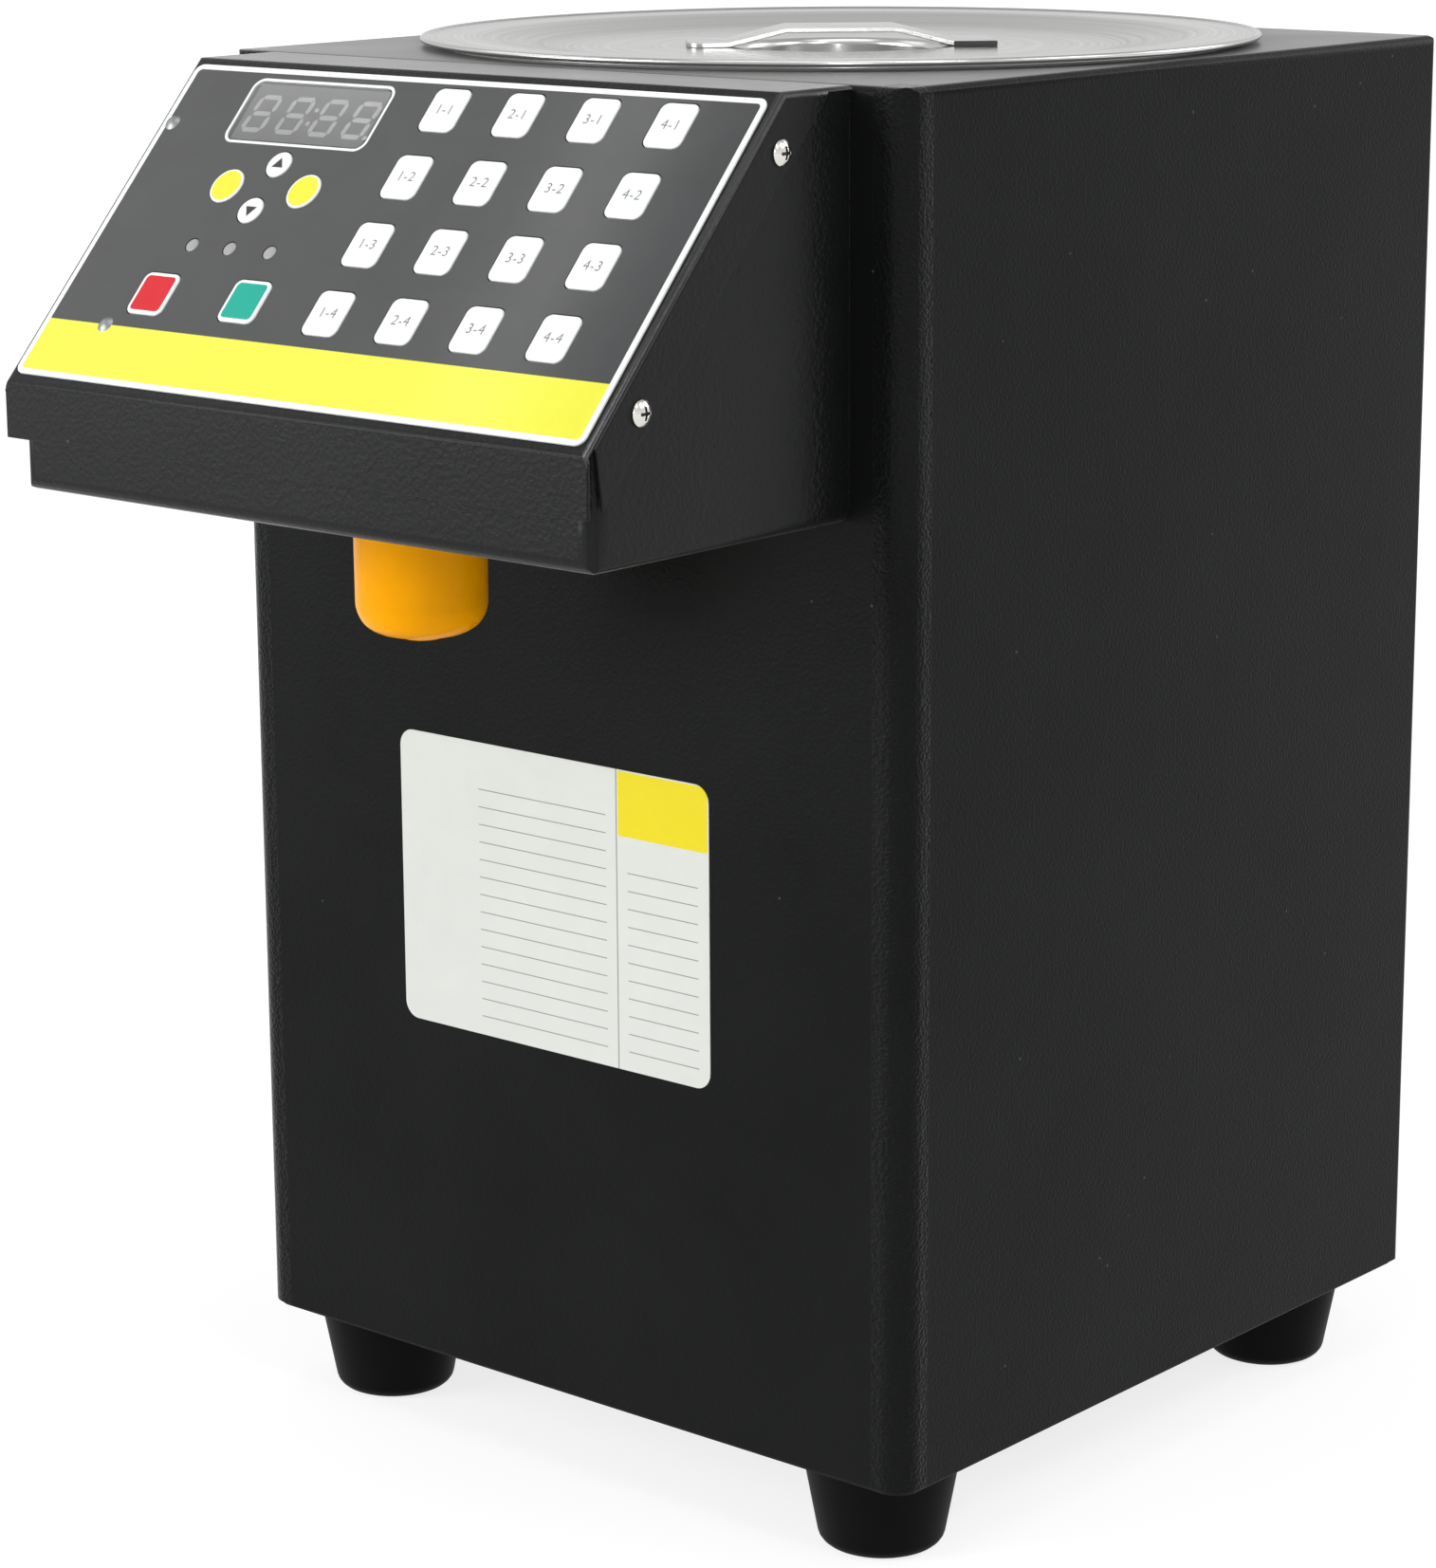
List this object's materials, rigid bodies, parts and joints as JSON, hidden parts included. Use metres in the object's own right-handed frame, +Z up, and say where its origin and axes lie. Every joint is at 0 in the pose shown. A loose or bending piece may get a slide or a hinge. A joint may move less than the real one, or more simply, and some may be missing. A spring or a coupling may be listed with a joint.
{
  "type": "syrup dispenser",
  "caption": "Counter-top syrup dispenser: black steel casing on rubber feet, round lift-off lid, sloping keypad console and a screw-on outlet nozzle.",
  "frame": {"origin": "middle of the overall box, on the surface under the feet", "axes": "+Z up; -Y towards the console at the front; +X to the right of someone who faces the console"},
  "size_m": [0.25, 0.3634, 0.4149],
  "materials": {
    "casing_black": "black powder coat with a fine orange-peel texture",
    "pan_black": "black powder coat",
    "foot_rubber": "matt black rubber",
    "screw_steel": "bright nickel-plated steel",
    "overlay_grey": "satin polyester overlay, dark grey field with a yellow band and a white border",
    "stud_steel": "dull zinc",
    "window_smoke": "smoked clear window",
    "module_dark": "moulded display module",
    "board_green": "green solder mask",
    "lamp_clear": "unlit diffused lamp",
    "switch_black": "moulded black",
    "key_white": null,
    "key_yellow": "yellow satin key with a white ring",
    "key_red": "red satin key with a white outline",
    "key_teal": "teal satin key with a white outline",
    "tank_steel": "drawn stainless steel",
    "gasket_white": "white silicone",
    "lid_steel": "spun and polished stainless steel",
    "heater_orange": "silicone heating mat",
    "probe_steel": "stainless sheath",
    "hose_silicone": "clear food-grade silicone",
    "pump_grey": "moulded grey plastic",
    "pump_aluminium": "machined aluminium",
    "gear_natural": "natural acetal",
    "motor_black": "black motor can",
    "bracket_zinc": "zinc-plated steel",
    "nozzle_orange": "glossy moulded orange plastic",
    "ring_black": "black nitrile",
    "spring_steel": "stainless spring wire",
    "supply_aluminium": "folded aluminium case",
    "inlet_black": "black moulding",
    "rocker_black": "glossy black moulding"
  },
  "bodies": {
    "machine": {"body_shell": "casing_black", "rear_cover": "casing_black", "console_cover": "casing_black", "console_tray": "casing_black", "base_pan": "pan_black", "feet": "foot_rubber", "rear_cover_screws": "screw_steel", "foot_screws": "screw_steel", "console_screws": "screw_steel", "panel_overlay": "overlay_grey", "panel_studs": "stud_steel", "display_window": "window_smoke", "display_module": "module_dark", "control_board": "board_green", "indicator_lamps": "lamp_clear", "tact_switches": "switch_black", "syrup_tank": "tank_steel", "tank_gasket": "gasket_white", "heater_band": "heater_orange", "temperature_probe": "probe_steel", "suction_hose": "hose_silicone", "delivery_hose": "hose_silicone", "pump_housing": "pump_grey", "pump_cover": "pump_aluminium", "pump_motor": "motor_black", "pump_bracket": "bracket_zinc", "nozzle_seat": "nozzle_orange", "nozzle_o_ring": "ring_black", "power_supply": "supply_aluminium", "power_inlet": "inlet_black"},
    "lid": {"lid_pan": "lid_steel", "lid_handle": "lid_steel"},
    "rocker": {"power_rocker": "rocker_black"},
    "pump_drive": {"drive_gear": "gear_natural"},
    "pump_driven": {"driven_gear": "gear_natural"},
    "cap": {"nozzle_cap": "nozzle_orange", "valve_spring": "spring_steel"},
    "valve": {"valve_plunger": "gear_natural"},
    "key_1_1": {"key_1_1": "key_white"},
    "key_1_2": {"key_1_2": "key_white"},
    "key_1_3": {"key_1_3": "key_white"},
    "key_1_4": {"key_1_4": "key_white"},
    "key_2_1": {"key_2_1": "key_white"},
    "key_2_2": {"key_2_2": "key_white"},
    "key_2_3": {"key_2_3": "key_white"},
    "key_2_4": {"key_2_4": "key_white"},
    "key_3_1": {"key_3_1": "key_white"},
    "key_3_2": {"key_3_2": "key_white"},
    "key_3_3": {"key_3_3": "key_white"},
    "key_3_4": {"key_3_4": "key_white"},
    "key_4_1": {"key_4_1": "key_white"},
    "key_4_2": {"key_4_2": "key_white"},
    "key_4_3": {"key_4_3": "key_white"},
    "key_4_4": {"key_4_4": "key_white"},
    "key_up": {"key_up": "key_white"},
    "key_down": {"key_down": "key_white"},
    "key_left_round": {"key_left_round": "key_yellow"},
    "key_right_round": {"key_right_round": "key_yellow"},
    "key_red": {"key_red": "key_red"},
    "key_green": {"key_green": "key_teal"}
  },
  "joints": [
    {"name": "lid_lift", "type": "slide", "parent": "machine", "child": "lid", "axis": [0, 0, 1], "range_m": [0, 0.12]},
    {"name": "rocker_tilt", "type": "hinge", "parent": "machine", "child": "rocker", "pos_m": [0.076, 0.17525, 0.0855], "axis": [1, 0, 0], "range_deg": [0, 16]},
    {"name": "pump_spin", "type": "hinge", "parent": "machine", "child": "pump_drive", "pos_m": [0.018, -0.06625, 0.063], "axis": [0, 1, 0], "continuous": true},
    {"name": "driven_spin", "type": "hinge", "parent": "machine", "child": "pump_driven", "pos_m": [0.018, -0.06625, 0.0822], "axis": [0, 1, 0], "continuous": true},
    {"name": "cap_removal", "type": "slide", "parent": "machine", "child": "cap", "axis": [0, 0, -1], "range_m": [0, 0.04]},
    {"name": "valve_open", "type": "slide", "parent": "cap", "child": "valve", "axis": [0, 0, -1], "range_m": [0, 0.003], "stiffness_N_per_m": 300, "springref_m": -0.003, "deforming": ["valve_spring"]},
    {"name": "key_1_1_press", "type": "slide", "parent": "machine", "child": "key_1_1", "axis": [0, 0.7397, -0.6729], "range_m": [0, 0.0004], "stiffness_N_per_m": 500, "springref_m": -0.001},
    {"name": "key_1_2_press", "type": "slide", "parent": "machine", "child": "key_1_2", "axis": [0, 0.7397, -0.6729], "range_m": [0, 0.0004], "stiffness_N_per_m": 500, "springref_m": -0.001},
    {"name": "key_1_3_press", "type": "slide", "parent": "machine", "child": "key_1_3", "axis": [0, 0.7397, -0.6729], "range_m": [0, 0.0004], "stiffness_N_per_m": 500, "springref_m": -0.001},
    {"name": "key_1_4_press", "type": "slide", "parent": "machine", "child": "key_1_4", "axis": [0, 0.7397, -0.6729], "range_m": [0, 0.0004], "stiffness_N_per_m": 500, "springref_m": -0.001},
    {"name": "key_2_1_press", "type": "slide", "parent": "machine", "child": "key_2_1", "axis": [0, 0.7397, -0.6729], "range_m": [0, 0.0004], "stiffness_N_per_m": 500, "springref_m": -0.001},
    {"name": "key_2_2_press", "type": "slide", "parent": "machine", "child": "key_2_2", "axis": [0, 0.7397, -0.6729], "range_m": [0, 0.0004], "stiffness_N_per_m": 500, "springref_m": -0.001},
    {"name": "key_2_3_press", "type": "slide", "parent": "machine", "child": "key_2_3", "axis": [0, 0.7397, -0.6729], "range_m": [0, 0.0004], "stiffness_N_per_m": 500, "springref_m": -0.001},
    {"name": "key_2_4_press", "type": "slide", "parent": "machine", "child": "key_2_4", "axis": [0, 0.7397, -0.6729], "range_m": [0, 0.0004], "stiffness_N_per_m": 500, "springref_m": -0.001},
    {"name": "key_3_1_press", "type": "slide", "parent": "machine", "child": "key_3_1", "axis": [0, 0.7397, -0.6729], "range_m": [0, 0.0004], "stiffness_N_per_m": 500, "springref_m": -0.001},
    {"name": "key_3_2_press", "type": "slide", "parent": "machine", "child": "key_3_2", "axis": [0, 0.7397, -0.6729], "range_m": [0, 0.0004], "stiffness_N_per_m": 500, "springref_m": -0.001},
    {"name": "key_3_3_press", "type": "slide", "parent": "machine", "child": "key_3_3", "axis": [0, 0.7397, -0.6729], "range_m": [0, 0.0004], "stiffness_N_per_m": 500, "springref_m": -0.001},
    {"name": "key_3_4_press", "type": "slide", "parent": "machine", "child": "key_3_4", "axis": [0, 0.7397, -0.6729], "range_m": [0, 0.0004], "stiffness_N_per_m": 500, "springref_m": -0.001},
    {"name": "key_4_1_press", "type": "slide", "parent": "machine", "child": "key_4_1", "axis": [0, 0.7397, -0.6729], "range_m": [0, 0.0004], "stiffness_N_per_m": 500, "springref_m": -0.001},
    {"name": "key_4_2_press", "type": "slide", "parent": "machine", "child": "key_4_2", "axis": [0, 0.7397, -0.6729], "range_m": [0, 0.0004], "stiffness_N_per_m": 500, "springref_m": -0.001},
    {"name": "key_4_3_press", "type": "slide", "parent": "machine", "child": "key_4_3", "axis": [0, 0.7397, -0.6729], "range_m": [0, 0.0004], "stiffness_N_per_m": 500, "springref_m": -0.001},
    {"name": "key_4_4_press", "type": "slide", "parent": "machine", "child": "key_4_4", "axis": [0, 0.7397, -0.6729], "range_m": [0, 0.0004], "stiffness_N_per_m": 500, "springref_m": -0.001},
    {"name": "key_up_press", "type": "slide", "parent": "machine", "child": "key_up", "axis": [0, 0.7397, -0.6729], "range_m": [0, 0.0004], "stiffness_N_per_m": 500, "springref_m": -0.001},
    {"name": "key_down_press", "type": "slide", "parent": "machine", "child": "key_down", "axis": [0, 0.7397, -0.6729], "range_m": [0, 0.0004], "stiffness_N_per_m": 500, "springref_m": -0.001},
    {"name": "key_left_round_press", "type": "slide", "parent": "machine", "child": "key_left_round", "axis": [0, 0.7397, -0.6729], "range_m": [0, 0.0004], "stiffness_N_per_m": 500, "springref_m": -0.001},
    {"name": "key_right_round_press", "type": "slide", "parent": "machine", "child": "key_right_round", "axis": [0, 0.7397, -0.6729], "range_m": [0, 0.0004], "stiffness_N_per_m": 500, "springref_m": -0.001},
    {"name": "key_red_press", "type": "slide", "parent": "machine", "child": "key_red", "axis": [0, 0.7397, -0.6729], "range_m": [0, 0.0004], "stiffness_N_per_m": 500, "springref_m": -0.001},
    {"name": "key_green_press", "type": "slide", "parent": "machine", "child": "key_green", "axis": [0, 0.7397, -0.6729], "range_m": [0, 0.0004], "stiffness_N_per_m": 500, "springref_m": -0.001}
  ],
  "couplings": [
    {"joint": "driven_spin", "follows": "pump_spin", "ratio": -1}
  ]
}
